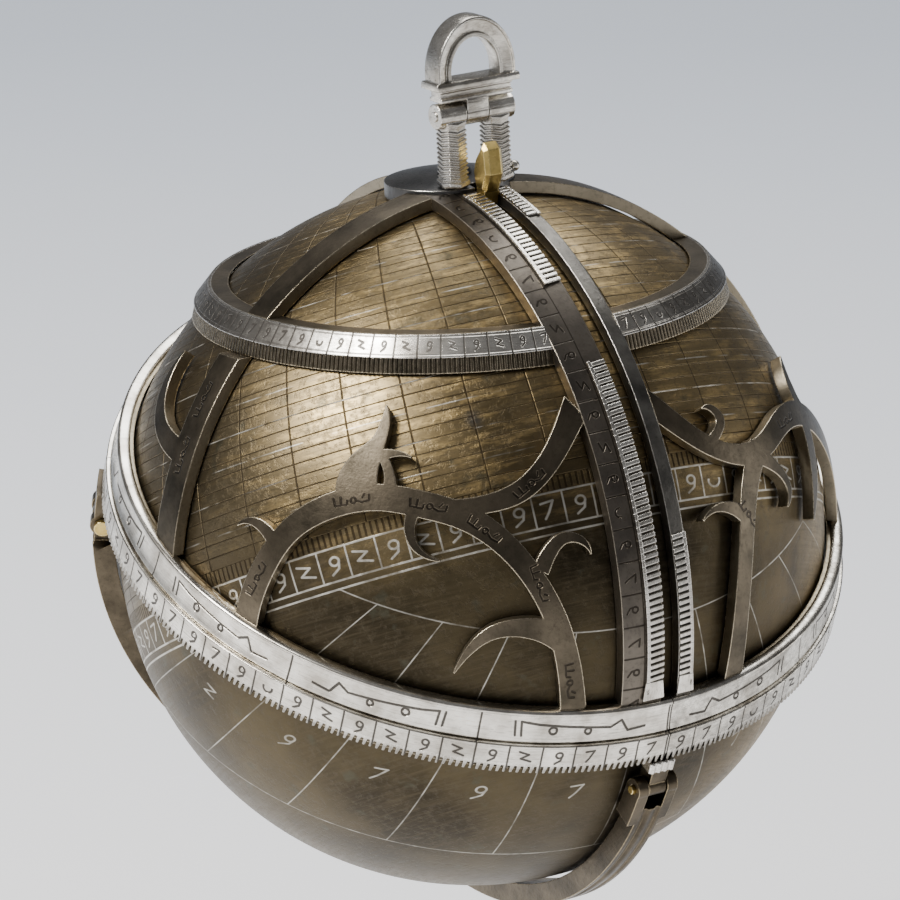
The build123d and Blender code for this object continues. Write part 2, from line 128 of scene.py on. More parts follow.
class Finish:
    """The node material of one metal."""

    def __init__(self, name, **constants):
        self.material = bpy.data.materials.new(name)
        self.material.use_nodes = True
        self.tree = self.material.node_tree
        self.shader = self.tree.nodes["Principled BSDF"]
        for socket, value in constants.items():
            self.shader.inputs[socket.replace("_", " ")].default_value = value

    def math(self, operation, *values):
        return self.node("ShaderNodeMath", {"operation": operation}, dict(enumerate(values)))

    def node(self, kind, settings, inputs, output=0):
        node = self.tree.nodes.new(kind)
        for name, value in settings.items():
            setattr(node, name, value)
        for key, value in inputs.items():
            if isinstance(value, Tone):
                self.tree.links.new(value.socket, node.inputs[key])
            else:
                node.inputs[key].default_value = value
        return Tone(self, node.outputs[output])

    def vector(self, operation, *values, output=0):
        return self.node("ShaderNodeVectorMath", {"operation": operation},
                         dict(enumerate(values)), output)

    def spot(self, x, y, z=0.0):
        return self.node("ShaderNodeCombineXYZ", {}, {0: x, 1: y, 2: z})

    def split(self, vector):
        return [self.node("ShaderNodeSeparateXYZ", {}, {0: vector}, i) for i in range(3)]

    def place(self, turned=(0, 0, 0)):
        """Millimetres from the globe's centre along axes turned by these angles."""
        position = self.node("ShaderNodeTexCoord", {}, {}, "Object")
        inputs = {0: position, 1: globe_centre, 2: turned, 3: (0.001, 0.001, 0.001)}
        return self.node("ShaderNodeMapping", {"vector_type": "TEXTURE"}, inputs)

    def bearings(self, x, y, z):
        """Angle round the axis from the slot side, angle above its equator, and distance out."""
        level = (x * x + y * y).math("SQRT")
        around = x.math("ARCTAN2", 0 - y) * math.degrees(1)
        above = z.math("ARCTAN2", level) * math.degrees(1)
        out = (level * level + z * z).math("SQRT")
        return around, above, out

    def noise(self, vector, scale, detail=3.0, roughness=0.6):
        inputs = {"Vector": vector, "Scale": scale, "Detail": detail, "Roughness": roughness}
        return self.node("ShaderNodeTexNoise", {}, inputs)

    def mix(self, share, first, second):
        """Colour between two, by the share of the second."""
        return self.node("ShaderNodeMix", {"data_type": "RGBA"}, {0: share, 6: first, 7: second}, 2)

    def stroke(self, spot, start, end):
        """Distance of a spot from a straight stroke of the graver."""
        run = (end[0] - start[0], end[1] - start[1], 0.0)
        offset = self.vector("SUBTRACT", spot, (*start, 0.0))
        share = self.vector("DOT_PRODUCT", offset, run, output=1) / (run[0] ** 2 + run[1] ** 2)
        nearest = self.node("ShaderNodeVectorMath", {"operation": "SCALE"},
                            {0: run, 3: share.ramp(0.0, 1.0)})
        return self.vector("DISTANCE", offset, nearest, output=1)

    def strokes(self, spot, *points):
        """Distance from a run of strokes drawn without lifting the graver."""
        distance = self.stroke(spot, points[0], points[1])
        for start, end in zip(points[1:], points[2:]):
            distance = distance.least(self.stroke(spot, start, end))
        return distance

    def ring(self, spot, centre, radius):
        """Distance from a small engraved ring."""
        return abs(self.vector("DISTANCE", spot, (*centre, 0.0), output=1) - radius)

    def numeral(self, along, up, pitch, shape):
        """Distance from a made-up numeral in each cell of a scale, in cell heights.

        Every second cell holds a ring with a tail; the others hold a hook, a zigzag or a bowl."""
        cell = (along / pitch).math("FLOOR")
        across = (along / pitch - cell - 0.5) * shape
        spot = self.spot(across, up)
        ringed = self.ring(spot, (0.04, 0.1), 0.13).least(
            self.strokes(spot, (0.17, 0.1), (0.12, -0.14), (-0.1, -0.3)))
        hook = self.strokes(spot, (-0.2, 0.22), (0.14, 0.26), (-0.02, -0.08), (-0.14, -0.26))
        zigzag = self.strokes(spot, (-0.24, 0.24), (0.14, 0.12), (-0.16, -0.08), (0.24, -0.2))
        bowl = self.ring(spot, (0.0, -0.02), 0.2) + (up > 0.04) * 9
        pick = self.node("ShaderNodeTexWhiteNoise", {"noise_dimensions": "1D"}, {1: cell})
        odd = cell.math("FLOORED_MODULO", 2.0) > 0.5
        plain = (hook + (pick > 0.4) * 9).least(zigzag + (abs(pick - 0.55) > 0.15) * 9)
        plain = plain.least(bowl + (pick < 0.7) * 9)
        return (ringed + odd * 9).least(plain + (1 - odd) * 9)

    def worn_edges(self, radius):
        """Share of wear on the arrises, and the normal that rounds them."""
        rounded = self.node("ShaderNodeBevel", {"samples": 6}, {"Radius": radius})
        flat = self.node("ShaderNodeNewGeometry", {}, {}, "Normal")
        turn = 1 - self.vector("DOT_PRODUCT", rounded, flat, output=1)
        return turn.ramp(0.01, 0.12), rounded

    def lay(self, colour, roughness, height=None, depth=0.0, normal=None):
        """Feeds the shader; height is in units of depth, in millimetres."""
        feeds = {"Base Color": colour, "Roughness": roughness}
        if height is not None:
            inputs = {"Strength": 1.0, "Distance": depth * 0.001, "Height": height}
            if normal is not None:
                inputs["Normal"] = normal
            normal = self.node("ShaderNodeBump", {}, inputs)
        if normal is not None:
            feeds["Normal"] = normal
        for name, value in feeds.items():
            self.tree.links.new(value.socket, self.shader.inputs[name])


# ---- floor and studio light ----
# A plain pale sweep some way below the hanging instrument. Its paper glows a little, painted paler
# towards the front and blue-grey further back as painted falloff of the light. One large soft light
# stands at the upper left, one above and a weaker one to the right, in a pale surround.
floor_drop = 0.16
bpy.ops.object.select_all(action="DESELECT")
bpy.ops.mesh.primitive_plane_add(size=12, location=(0, 0, -floor_drop))
floor = bpy.context.object
floor.name = "studio_floor"
# painted light: the paper glows with its own colour, so it stays pale however the lamps fall on it
paper = Finish("studio_paper", Roughness=0.9, Emission_Strength=0.42)
sweep = paper.node("ShaderNodeTexCoord", {}, {}, "Object")
depth_in = paper.vector("DOT_PRODUCT", sweep, (-back.x, -back.y, 0.0), output=1)
shade = depth_in.ramp(-0.02, 0.50)
grain = paper.noise(sweep, 40.0) * 0.04 - 0.02
# painted light: the floor's colour, paler near the camera and blue-grey far off, also feeds its glow
painted_falloff_glow = paper.mix((shade + grain).ramp(0.0, 1.0), (0.95, 0.95, 0.96, 1), (0.53, 0.58, 0.66, 1))
paper.lay(painted_falloff_glow, grain * 0.2 + 0.9)
paper.tree.links.new(painted_falloff_glow.socket, paper.shader.inputs["Emission Color"])
floor.data.materials.append(paper.material)


def softbox(name, direction, distance, size, power, tint=(1.0, 1.0, 1.0)):
    """Area light aimed at the globe, from a direction given as right, up and towards the camera."""
    lamp = bpy.data.lights.new(name, "AREA")
    lamp.shape = "RECTANGLE"
    lamp.size, lamp.size_y = size
    lamp.energy = power
    lamp.color = tint
    light = bpy.data.objects.new(name, lamp)
    aim = (right * direction[0] + up * direction[1] + back * direction[2]).normalized()
    light.location = globe_centre + aim * distance
    light.rotation_euler = aim.to_track_quat("Z", "Y").to_euler()
    bpy.context.scene.collection.objects.link(light)


softbox("key_light", (-0.62, 0.62, 0.55), 0.75, (0.30, 0.30), 9.0, (1.0, 0.97, 0.93))
softbox("top_light", (0.1, 1.0, -0.25), 0.7, (0.5, 0.3), 3.0, (1.0, 0.99, 0.97))
softbox("side_light", (1.0, 0.0, -0.1), 0.8, (0.3, 0.5), 1.6, (1.0, 0.98, 0.95))
world = bpy.data.worlds.new("studio")
world.use_nodes = True
world.node_tree.nodes["Background"].inputs["Color"].default_value = (0.70, 0.70, 0.72, 1)
world.node_tree.nodes["Background"].inputs["Strength"].default_value = 0.22
bpy.context.scene.world = world

# ---- globe: two raised brass hemispheres, soldered over an inner sleeve ----
# The globe is engraved about its own zenith. Above the horizon are altitude lines every 2 degrees
# with silver wire let in every 5, and azimuth lines every 10. Round the horizon run a comb of
# degrees and a numbered band; below it the unequal hours are inlaid for a latitude of 40 degrees.
mm = 0.001
globe_radius = 41.5
globe_wall = 1.6
zenith_tilt = 25.9
engraved_turn = 4.3
horizon_shift = 0.95
band_middle = 4.95
band_half = 2.55
night_edge = 8.75
site_latitude = 40
tropic = 23.5


def settle(piece, tilt):
    """Moves a piece made about the world's Z axis to the globe's centre, its axis tilted back."""
    piece.matrix_world = Matrix.Translation(globe_centre) @ Matrix.Rotation(math.radians(tilt), 4, "X")
    bpy.ops.object.select_all(action="DESELECT")
    piece.select_set(True)
    bpy.context.view_layer.objects.active = piece
    bpy.ops.object.transform_apply(location=True, rotation=True, scale=True)


def apply_modifier(piece, kind, **settings):
    """Adds a modifier, sets it and applies it."""
    modifier = piece.modifiers.new(kind.lower(), kind)
    for name, value in settings.items():
        setattr(modifier, name, value)
    bpy.ops.object.select_all(action="DESELECT")
    piece.select_set(True)
    bpy.context.view_layer.objects.active = piece
    bpy.ops.object.modifier_apply(modifier=modifier.name)


def smooth(piece, angle=35):
    """Shades a piece smooth, save where its faces meet at more than an angle."""
    bpy.ops.object.select_all(action="DESELECT")
    piece.select_set(True)
    bpy.context.view_layer.objects.active = piece
    bpy.ops.object.shade_smooth_by_angle(angle=math.radians(angle))


def fit(piece, body, slot, finish, *nodes):
    """Hangs a finished piece on its body, with its metal and the nodes it stands for."""
    piece.data.materials.clear()
    piece.data.materials.append(finish.material)
    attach(piece, body)
    if nodes:
        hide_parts(*nodes)


polar_rotation = Matrix.Rotation(math.radians(-hang_tilt), 3, "X")
engraved = polar_rotation @ Matrix.Rotation(math.radians(-engraved_turn), 3, "Z")
zenith_rotation = engraved @ Matrix.Rotation(math.radians(-zenith_tilt), 3, "X")
hour_rotation = zenith_rotation @ Matrix.Rotation(math.radians(90 - site_latitude), 3, "X")

brass = Finish("engraved_globe_brass", Metallic=1.0)
zx, zy, zz = brass.split(brass.place(zenith_rotation.to_euler()))
azimuth_of, altitude, _ = brass.bearings(zx, zy, zz)
altitude = altitude + horizon_shift
squeeze = (altitude / math.degrees(1)).math("COSINE")
above_horizon = altitude > 0
cloud = brass.noise(brass.spot(zx, zy, zz), 0.055, 4.0)
brushed = brass.noise(brass.spot(azimuth_of * 0.09, altitude * 1.6, 0.0), 1.0, 4.0, 0.7)
blotch = brass.noise(brass.spot(zx, zy, zz), 0.32, 3.0)
fade = brass.noise(brass.spot(azimuth_of * 0.16, altitude * 0.45, 3.0), 1.0, 2.0)

dark_lines = altitude.off(2.0).line(0.04, 0.08) * above_horizon
azimuth_lines = ((azimuth_of + 0.5).off(10.0) * squeeze).line(0.07, 0.1) * above_horizon
silver_lines = altitude.off(5.0).line(0.05, 0.1) * (altitude > 1.0) * fade.ramp(0.44, 0.62, 0.0, 0.8)
comb = (azimuth_of.off(1.0) - 0.12).line(0.0, 0.1) * (abs(altitude + 1.05) < 1.05)
dark = dark_lines.most(azimuth_lines).most(comb)

cells = abs(altitude + band_middle) < band_half
walls = azimuth_of.off(5.0).line(0.1, 0.09) * cells
number = brass.numeral(azimuth_of, (altitude + band_middle) / 5.0, 5.0, 0.85).line(0.02, 0.025) * cells
border = abs(abs(altitude + band_middle) - band_half).least(abs(altitude + night_edge))
borders = border.line(0.1, 0.09)

hx, hy, hz = brass.split(brass.place(hour_rotation.to_euler()))
hour_angle, declination, _ = brass.bearings(hx, hy, hz)
latitude_slope = math.tan(math.radians(site_latitude))
set_angle = ((declination / math.degrees(1)).math("TANGENT") * -latitude_slope).math("ARCCOSINE")
hour_width = (180 - set_angle * math.degrees(1)) / 6
hour = hour_angle / hour_width
tropics = abs(declination) < tropic
below = altitude < -night_edge
hour_lines = (hour.off(1.0) * hour_width).line(0.06, 0.09) * tropics
circles = abs(declination).least(abs(abs(declination) - tropic)).line(0.06, 0.09)
hour_marks = brass.numeral(hour * 5, (declination + 6.2) / 5.4, 5.0, 2.6).line(0.02, 0.02)
hour_marks = hour_marks * (abs(declination + 6.2) < 3.2)
night = hour_lines.most(circles).most(hour_marks) * below * fade.ramp(0.4, 0.6, 0.35, 0.8)
wire = silver_lines.most(walls).most(number).most(borders).most(night)
wire = wire * blotch.ramp(0.34, 0.52, 0.35, 0.85)

mottle = brass.noise(brass.spot(zx, zy, zz), 1.1, 5.0, 0.75)
speck = brass.noise(brass.spot(zx, zy, zz), 3.4, 3.0, 0.7)
golden = brass.noise(brass.spot(azimuth_of * 0.12, altitude * 0.5, 9.0), 1.0, 4.0, 0.7)
# the upper half is made darker towards its left side, most from 68 degrees left of the slot
darker_left_side = (azimuth_of + 68).ramp(0.0, 34.0, 0.75, 0.0)
gold = brass.mix(cloud.ramp(0.36, 0.64), (0.13, 0.098, 0.05, 1), (0.31, 0.235, 0.12, 1))
gold = brass.mix(golden.ramp(0.5, 0.68) * 0.7, gold, (0.62, 0.45, 0.20, 1))
gold = brass.mix(darker_left_side, gold, (0.085, 0.072, 0.05, 1))
bronze = brass.mix(cloud.ramp(0.36, 0.64), (0.036, 0.029, 0.018, 1), (0.095, 0.075, 0.042, 1))
# the lower half is made a lighter gold towards its right side, from 25 degrees right of the slot
lighter_right_side = (azimuth_of - 25).ramp(0.0, 25.0) * cloud.ramp(0.3, 0.6)
bronze = brass.mix(lighter_right_side, bronze, (0.24, 0.17, 0.075, 1))
skin = brass.mix(altitude.ramp(-12.0, 4.0), bronze, gold)
skin = brass.mix(brushed.ramp(0.45, 0.68) * 0.5, skin, (0.10, 0.08, 0.05, 1))
skin = brass.mix(mottle.ramp(0.5, 0.68) * 0.6, skin, (0.085, 0.07, 0.048, 1))
skin = brass.mix(speck.ramp(0.6, 0.72) * 0.5, skin, (0.05, 0.042, 0.03, 1))
skin = brass.mix(blotch.ramp(0.62, 0.72) * 0.55, skin, (0.075, 0.075, 0.055, 1))
smudge = brass.vector("DISTANCE", brass.spot(azimuth_of, altitude), (-20.5, 11.5, 0.0), output=1)
skin = brass.mix((smudge + mottle * 3).ramp(1.9, 3.4, 0.75, 0.0), skin, (0.06, 0.06, 0.06, 1))
skin = brass.mix(dark * 0.8, skin, (0.03, 0.022, 0.014, 1))
skin = brass.mix(wire, skin, (0.66, 0.64, 0.58, 1))
sheen = brushed * 0.22 + mottle * 0.14 + 0.22 + (1 - above_horizon) * 0.05 + dark * 0.2
brass.lay(skin, sheen, wire * 0.25 - dark + brushed * 0.15 - mottle.ramp(0.5, 0.7) * 0.4, 0.05)


def hemisphere(name, sign):
    """Half a raised shell on one side of the horizon."""
    bpy.ops.object.select_all(action="DESELECT")
    bpy.ops.mesh.primitive_uv_sphere_add(segments=256, ring_count=128, radius=globe_radius * mm)
    half = bpy.context.object
    half.name = name
    bpy.ops.object.mode_set(mode="EDIT")
    bpy.ops.mesh.select_all(action="SELECT")
    bpy.ops.mesh.bisect(plane_co=(0, 0, 0), plane_no=(0, 0, sign), clear_inner=True)
    bpy.ops.object.mode_set(mode="OBJECT")
    apply_modifier(half, "SOLIDIFY", thickness=globe_wall * mm, offset=-1.0)
    settle(half, -zenith_tilt - hang_tilt)
    return half


upper_half = hemisphere("globe_upper_shell", 1)
bpy.ops.object.select_all(action="DESELECT")
bpy.ops.mesh.primitive_cylinder_add(vertices=48, radius=1.25 * mm, depth=0.02,
                                    location=globe_centre + pole * globe_radius * mm,
                                    rotation=(math.radians(-hang_tilt), 0, 0))
drill = bpy.context.object
apply_modifier(upper_half, "BOOLEAN", operation="DIFFERENCE", object=drill)
bpy.data.objects.remove(drill)
smooth(upper_half)
fit(upper_half, "globe", "globe_brass", brass, "globe_upper_half")
lower_half = hemisphere("globe_lower_shell", -1)
smooth(lower_half)
fit(lower_half, "globe", "globe_brass", brass, "globe_lower_half")


# ---- sleeve and bush: plain brass inside the globe ----
# The sleeve is soldered inside the horizon seam and the bush behind the pole hole, where the
# pole pin turns. Neither is engraved.
inner_brass = Finish("inner_brass", Metallic=1.0)
inner_spot = inner_brass.place()
inner_cloud = inner_brass.noise(inner_spot, 0.4)
inner_skin = inner_brass.mix(inner_cloud.ramp(0.35, 0.65), (0.20, 0.15, 0.08, 1), (0.42, 0.31, 0.16, 1))
inner_brass.lay(inner_skin, inner_cloud * 0.2 + 0.35, inner_cloud, 0.02)


def dress(finish, *nodes):
    """Gives CAD nodes that are kept as they are their metal."""
    for name in nodes:
        frame["nodes"][name].data.materials.clear()
        frame["nodes"][name].data.materials.append(finish.material)


dress(inner_brass, "globe_joining_sleeve", "globe_pole_bush")

# ---- ecliptic ring: a brass core faced with two silver bands under a silver rim wire ----
# The upper band is ruled for twelve signs, each with a long drawn-out mark. The lower band stands
# prouder, has a numeral for every 5 degrees, and its lower edge is cut into a tooth a degree.
obliquity = 23.5
ecliptic_tilt = obliquity - hang_tilt
core_out = 43.1
name_out = 43.55
number_out = 43.95
step_height = 3.8
tooth_height = 0.95
rim_low = 7.5
ring_height = 8.0


def silver_skin(finish, spot, streaks, tarnish_and_shade):
    """Colour and roughness of worn silver, scratched along its length, black where tarnished and darkened
    where painted shade is passed in with the tarnish.
    """
    cloud = finish.noise(spot, 0.22, 4.0)
    grime = finish.noise(spot, 1.3, 5.0, 0.7)
    scratch = finish.noise(streaks, 1.0, 4.0, 0.75)
    skin = finish.mix(cloud.ramp(0.34, 0.66), (0.42, 0.39, 0.34, 1), (0.90, 0.87, 0.80, 1))
    skin = finish.mix(scratch.ramp(0.52, 0.72) * 0.7, skin, (0.17, 0.15, 0.125, 1))
    black = (grime * 0.8 + tarnish_and_shade).ramp(0.5, 0.9)
    skin = finish.mix(black * 0.85, skin, (0.075, 0.07, 0.065, 1))
    return skin, scratch * 0.16 + 0.15 + black * 0.16, scratch


def turned(name, *profile):
    """Ring turned on the Z axis from the (distance out, height) corners of its section."""
    bpy.ops.object.select_all(action="DESELECT")
    bpy.ops.mesh.primitive_circle_add(vertices=len(profile), fill_type="NOTHING")
    ring = bpy.context.object
    ring.name = name
    for vertex, (out, height) in zip(ring.data.vertices, profile):
        vertex.co = (0, -math.sqrt(out * out - height * height) * mm, height * mm)
    bpy.ops.object.mode_set(mode="EDIT")
    bpy.ops.mesh.select_all(action="SELECT")
    bpy.ops.mesh.spin(steps=360, angle=math.tau, center=(0, 0, 0), axis=(0, 0, 1))
    bpy.ops.mesh.select_all(action="SELECT")
    bpy.ops.mesh.remove_doubles(threshold=0.002 * mm)
    bpy.ops.mesh.normals_make_consistent(inside=False)
    bpy.ops.object.mode_set(mode="OBJECT")
    apply_modifier(ring, "BEVEL", width=0.07 * mm, segments=2, angle_limit=math.radians(40))
    return ring


def swing(piece, angle, axis):
    """Turns a piece about an axis through the globe's centre."""
    piece.matrix_world = Matrix.Rotation(math.radians(angle), 4, axis)
    bpy.ops.object.select_all(action="DESELECT")
    piece.select_set(True)
    bpy.context.view_layer.objects.active = piece
    bpy.ops.object.transform_apply(location=True, rotation=True, scale=True)


def block(name, latitude, out, size, bevel):
    """Bevelled block standing on the slot side of the globe, its size across, outwards and up."""
    bpy.ops.object.select_all(action="DESELECT")
    bpy.ops.mesh.primitive_cube_add(size=mm)
    piece = bpy.context.object
    piece.name = name
    piece.scale = size
    piece.location = (0, -out * mm, 0)
    bpy.ops.object.transform_apply(location=True, rotation=True, scale=True)
    apply_modifier(piece, "BEVEL", width=bevel * mm, segments=1, limit_method="NONE")
    swing(piece, -latitude, "X")
    return piece


def repeat(piece, count, axis, step=1.0):
    """Sets copies of a piece round an axis through the globe's centre and joins them."""
    turn = bpy.data.objects.new("one_step", None)
    turn.matrix_world = Matrix.Rotation(math.radians(step), 4, axis)
    bpy.context.scene.collection.objects.link(turn)
    bpy.context.view_layer.update()
    apply_modifier(piece, "ARRAY", count=count, use_relative_offset=False, use_object_offset=True,
                   offset_object=turn)
    bpy.data.objects.remove(turn)
    return piece


def join(*pieces):
    """Joins pieces into the first, as soldered work."""
    bpy.ops.object.select_all(action="DESELECT")
    for piece in pieces:
        piece.select_set(True)
    bpy.context.view_layer.objects.active = pieces[0]
    bpy.ops.object.join()
    return pieces[0]


ecliptic_rotation = (math.radians(ecliptic_tilt), 0, 0)
zodiac = Finish("ecliptic_silver", Metallic=1.0)
ex, ey, ez = zodiac.split(zodiac.place(ecliptic_rotation))
zodiac_degree, _, zodiac_out = zodiac.bearings(ex, ey, ez)
zodiac_spot = zodiac.spot(ex, ey, ez)
zodiac_streaks = zodiac.spot(zodiac_degree * 0.25, ez * 5.0)
seam = (abs(zodiac_degree - 0.4) * 0.75).line(0.06, 0.05)
# painted shade: from the seam round to 60 degrees the silver is darkened, for the side turned away from
# the key light
ecliptic_right_shade = (zodiac_degree > 0.4) * (zodiac_degree < 60) * 0.2
zodiac_skin, zodiac_rough, zodiac_scratch = silver_skin(zodiac, zodiac_spot, zodiac_streaks, ecliptic_right_shade + 0.02)
on_numbers = (ez < step_height - 0.05) * (zodiac_out > number_out - 0.12)
number_height = 2.9
number_up = (ez - 2.3) / number_height
numbers = zodiac.numeral(zodiac_degree, number_up, 5.0, 1.3).line(0.035, 0.02)
number_walls = (zodiac_degree.off(5.0) * 0.766).line(0.08, 0.05)
number_cuts = numbers.most(number_walls) * on_numbers
on_names = (ez > step_height) * (ez < rim_low) * (zodiac_out > name_out - 0.3)
sign = (zodiac_degree / 30).math("FLOOR")
sign_across = (zodiac_degree / 30 - sign - 0.5) * 6.3
flip = sign.math("FLOORED_MODULO", 2.0) * 2 - 1
sign_spot = zodiac.spot(sign_across * flip, (ez - 5.65) / 3.6)
flourish = zodiac.strokes(sign_spot, (-1.3, 0.2), (1.1, 0.02), (1.45, 0.24), (1.7, -0.16), (2.3, -0.1))
flourish = flourish.least(zodiac.ring(sign_spot, (-0.8, -0.02), 0.12))
flourish = flourish.least(zodiac.ring(sign_spot, (0.35, -0.06), 0.1))
flourish = flourish.least(zodiac.strokes(sign_spot, (-2.05, 0.28), (-2.0, -0.22)))
flourish = flourish.least(zodiac.strokes(sign_spot, (-1.8, -0.22), (-1.85, 0.28), (-1.3, 0.2)))
name_walls = (zodiac_degree.off(30.0) * 0.75).line(0.08, 0.05)
name_cuts = flourish.line(0.028, 0.02).most(name_walls) * on_names
cuts = number_cuts.most(name_cuts).most(seam)
zodiac_edge, zodiac_round = zodiac.worn_edges(0.00015)
zodiac_skin = zodiac.mix(zodiac_edge * 0.7, zodiac_skin, (0.92, 0.91, 0.88, 1))
# painted shade: the silver is darkened towards the lower edge of the number band, over its teeth
zodiac_skin = zodiac.mix(ez.ramp(0.5, 1.2, 0.6, 0.0), zodiac_skin, (0.09, 0.08, 0.065, 1))
zodiac_skin = zodiac.mix(cuts * 0.93, zodiac_skin, (0.05, 0.045, 0.04, 1))
zodiac.lay(zodiac_skin, zodiac_rough + cuts * 0.25, zodiac_scratch * 0.15 - cuts, 0.07, zodiac_round)

name_band = turned("ecliptic_name_face", (core_out, step_height), (core_out, rim_low),
                   (name_out, rim_low), (name_out - 0.12, 6.9), (name_out - 0.16, 5.6),
                   (name_out - 0.1, 4.5), (name_out, 4.15), (name_out - 0.25, step_height))
settle(name_band, ecliptic_tilt)
smooth(name_band)
fit(name_band, "rete", "silver", zodiac, "ecliptic_name_band")
rim = turned("ecliptic_rim_wire", (core_out - 0.9, rim_low), (core_out - 0.85, 7.85),
             (core_out - 0.5, ring_height), (name_out - 0.15, ring_height), (name_out + 0.1, 7.85),
             (name_out + 0.15, 7.6), (name_out + 0.05, rim_low))
settle(rim, ecliptic_tilt)
smooth(rim)
fit(rim, "rete", "silver", zodiac, "ecliptic_rim")
number_band = turned("ecliptic_number_face", (core_out, tooth_height), (core_out, step_height),
                     (number_out - 0.05, step_height), (number_out, 3.7), (number_out, 3.45),
                     (number_out - 0.08, 3.35), (number_out - 0.08, tooth_height))
tooth = block("ecliptic_tooth", 0.9, 43.5, (0.56, 0.72, 1.3), 0.06)
for vertex in tooth.data.vertices:
    drop = (1.3 * mm - vertex.co.z) / (1.3 * mm)
    vertex.co.x = vertex.co.x * (1 - 0.5 * drop) - 0.22 * mm * drop
teeth = repeat(tooth, 360, "Z")
join(number_band, teeth)
settle(number_band, ecliptic_tilt)
smooth(number_band)
fit(number_band, "rete", "silver", zodiac, "ecliptic_number_band")

# ---- dark brass of the rete: ring cores, ribs, star tracery ----
# Cast and filed brass with a grey-brown patina that has worn bright along its arrises. The ribs
# and tracery carry the names of stars as small engraved marks.


def patina(finish, spot, deep, worn, arris, rough, walls=None):
    """Lays brass or silver that is dark in its hollows, worn on its faces and bright on its edges.

    The faces that stand upright on the globe may be painted lighter, as painted light on walls that face
    the lamps."""
    cloud = finish.noise(spot, 0.16, 4.0)
    fine = finish.noise(spot, 1.9, 4.0, 0.7)
    edge, rounded = finish.worn_edges(0.0002)
    skin = finish.mix(cloud.ramp(0.34, 0.66), deep, worn)
    if walls:
        # painted light: faces standing upright on the globe are mixed towards the lighter walls colour
        here = finish.node("ShaderNodeTexCoord", {}, {}, "Object")
        facing = finish.node("ShaderNodeTexCoord", {}, {}, "Normal")
        outwards = finish.vector("NORMALIZE", finish.vector("SUBTRACT", here, tuple(globe_centre)))
        lean = abs(finish.vector("DOT_PRODUCT", outwards, facing, output=1))
        skin = finish.mix(lean.ramp(0.35, 0.6, 0.9, 0.0) * cloud.ramp(0.25, 0.6, 0.55, 1.0), skin, walls)
    skin = finish.mix(fine.ramp(0.52, 0.78) * 0.45, skin, tuple(part * 0.3 for part in deep[:3]) + (1,))
    skin = finish.mix(edge * fine.ramp(0.3, 0.62, 0.35, 1.0), skin, arris)
    return skin, fine * 0.22 + rough - edge * 0.08, fine, rounded


rete_brass = Finish("rete_brass", Metallic=1.0)
rete_place = rete_brass.place((math.radians(-hang_tilt), 0, 0))
# the rete's upright walls get a lighter painted colour, as painted light
rete_skin, rete_rough, rete_fine, rete_round = patina(
    rete_brass, rete_place, (0.055, 0.047, 0.034, 1), (0.15, 0.125, 0.09, 1), (0.80, 0.70, 0.52, 1), 0.25,
    (0.34, 0.295, 0.215, 1))
star_marks = {  # longitude, latitude and slope of each engraved mark
    "arch_foot": (-65.2, 8.5, -62), "arch_left": (-49.5, 21.6, -12), "arch_top": (-37, 21, 10),
    "arch_right": (-28.4, 17.2, 38), "trunk_high": (-20.6, 8.6, 74), "trunk_low": (-16.6, -7, 86),
    "branch": (-20.6, 23.4, -36), "rib_low": (-85.6, 24, -88), "rib_mid": (-85.6, 33, -88),
    "rib_high": (-72, 60, -30), "right_arch": (36, 22.3, 0), "right_trunk": (17.6, 12.5, 60),
    "right_foot": (58.5, 7, 70), "right_rib": (85.6, 30, 88)}
face_distance = 43.0
mark_spot = rete_brass.spot(0.0, 0.0)
on_mark = rete_brass.math("MULTIPLY", 0.0, 0.0)
for lon, lat, slope in star_marks.values():
    turned_to = (polar_rotation @ Matrix.Rotation(math.radians(lon), 3, "Z")
                 @ Matrix.Rotation(math.radians(-lat), 3, "X")
                 @ Matrix.Rotation(math.radians(slope), 3, "Y"))
    mx, my, mz = rete_brass.split(rete_brass.place(turned_to.to_euler()))
    here = (abs(mx) < 2.7) * (abs(mz) < 0.95) * (my < -face_distance)
    local = rete_brass.node("ShaderNodeVectorMath", {"operation": "SCALE"},
                            {0: rete_brass.spot(mx, mz), 3: here})
    mark_spot = rete_brass.vector("ADD", mark_spot, local)
    on_mark = on_mark.most(here)
script = rete_brass.strokes(mark_spot, (-2.1, 0.5), (-2.0, -0.35), (-0.6, -0.4), (-0.5, 0.05))
script = script.least(rete_brass.strokes(mark_spot, (-1.3, -0.35), (-1.25, 0.5)))
script = script.least(rete_brass.ring(mark_spot, (0.2, -0.05), 0.3))
script = script.least(rete_brass.strokes(mark_spot, (0.5, -0.1), (1.2, -0.4), (2.0, -0.3), (2.1, 0.3)))
script = script.least(rete_brass.strokes(mark_spot, (1.3, 0.1), (1.55, 0.45)))
engraved_marks = script.line(0.08, 0.07) * on_mark
rete_skin = rete_brass.mix(engraved_marks * 0.85, rete_skin, (0.03, 0.025, 0.02, 1))
rete_brass.lay(rete_skin, rete_rough, rete_fine * 0.4 - engraved_marks, 0.06, rete_round)
dress(rete_brass, "ecliptic_ring", "declination_ring", "left_star_tracery", "right_star_tracery",
      "left_upper_rib", "left_lower_rib", "right_upper_rib", "right_lower_rib", "back_upper_rib",
      "back_lower_rib")

# ---- declination ring: a silver scale over a brass band cut into a tooth a degree ----
# Ring parallel to the equator, butted to the colure rails. The silver has a numeral for every 5 degrees
# and is painted darker towards both ends of what shows, as painted shade; the brass teeth stay dark.
ring_low = 28.0
ring_mid = 29.8
scale_silver = Finish("declination_silver", Metallic=1.0)
dx, dy, dz = scale_silver.split(scale_silver.place((math.radians(-hang_tilt), 0, 0)))
scale_degree, _, scale_distance = scale_silver.bearings(dx, dy, dz)
